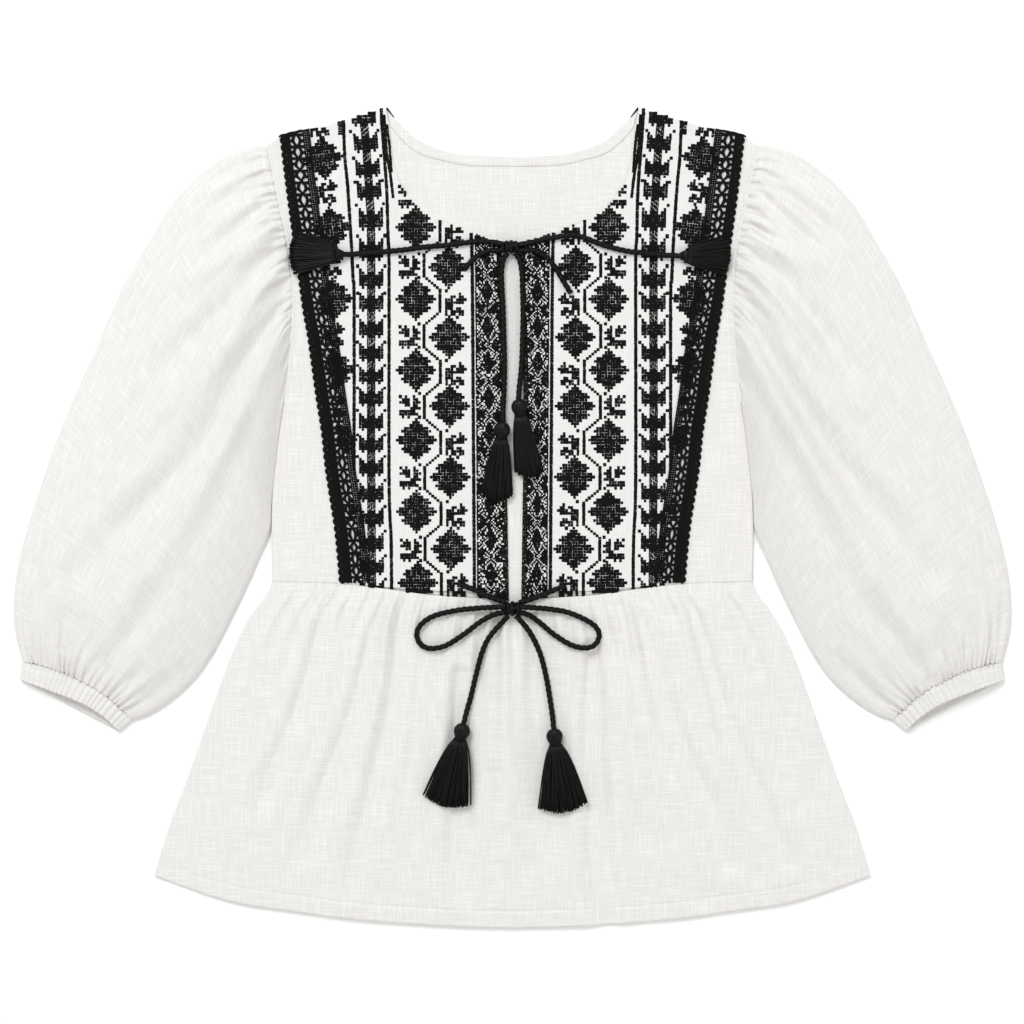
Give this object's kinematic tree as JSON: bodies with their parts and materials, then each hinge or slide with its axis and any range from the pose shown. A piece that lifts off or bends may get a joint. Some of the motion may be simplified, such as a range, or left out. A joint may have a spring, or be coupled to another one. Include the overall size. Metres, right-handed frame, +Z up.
{
  "type": "embroidered blouse laid flat",
  "caption": "White folk blouse with black embroidered front panels, crochet lace, gathered sleeves, peplum and two tasselled cord ties, laid flat on its back.",
  "frame": {"origin": "under the middle of the garment, on the surface it lies on", "axes": "+X from the blouse's left in the picture to its right, +Y to the neck, +Z up out of the surface"},
  "size_m": [0.8176, 0.6732, 0.0257],
  "materials": {
    "slub_linen": "matte slub weave",
    "panel_cotton": "smooth matte weave with black thread embroidery",
    "black_embroidery": "dense black thread over white cotton",
    "black_crochet": "crocheted cotton thread",
    "black_cord": "twisted cord, soft satin",
    "black_tassel": "cut thread, soft satin"
  },
  "bodies": {
    "root": {"bodice_back": "slub_linen", "back_neck_facing": "slub_linen", "front_side_left": "slub_linen", "front_side_right": "slub_linen", "embroidered_panel_left": "panel_cotton", "embroidered_panel_right": "panel_cotton", "placket_band_left": "black_embroidery", "placket_band_right": "black_embroidery", "lace_trim_left": "black_crochet", "lace_trim_right": "black_crochet", "sleeve_left": "slub_linen", "sleeve_right": "slub_linen", "cuff_left": "slub_linen", "cuff_right": "slub_linen", "peplum_front": "slub_linen", "peplum_back": "slub_linen", "neck_knot": "black_cord", "waist_knot": "black_cord", "neck_cord_arm_left": "black_cord", "neck_cord_arm_right": "black_cord", "neck_cord_drop_left": "black_cord", "neck_cord_drop_right": "black_cord", "neck_cord_end_left": "black_cord", "neck_cord_end_right": "black_cord", "waist_cord_root_left": "black_cord", "waist_cord_root_right": "black_cord", "waist_cord_loop_left": "black_cord", "waist_cord_loop_right": "black_cord", "waist_cord_drop_left": "black_cord", "waist_cord_drop_right": "black_cord", "shoulder_tassel_left": "black_tassel", "shoulder_tassel_right": "black_tassel", "neck_tassel_left": "black_tassel", "neck_tassel_right": "black_tassel", "waist_tassel_left": "black_tassel", "waist_tassel_right": "black_tassel"}
  },
  "joints": []
}
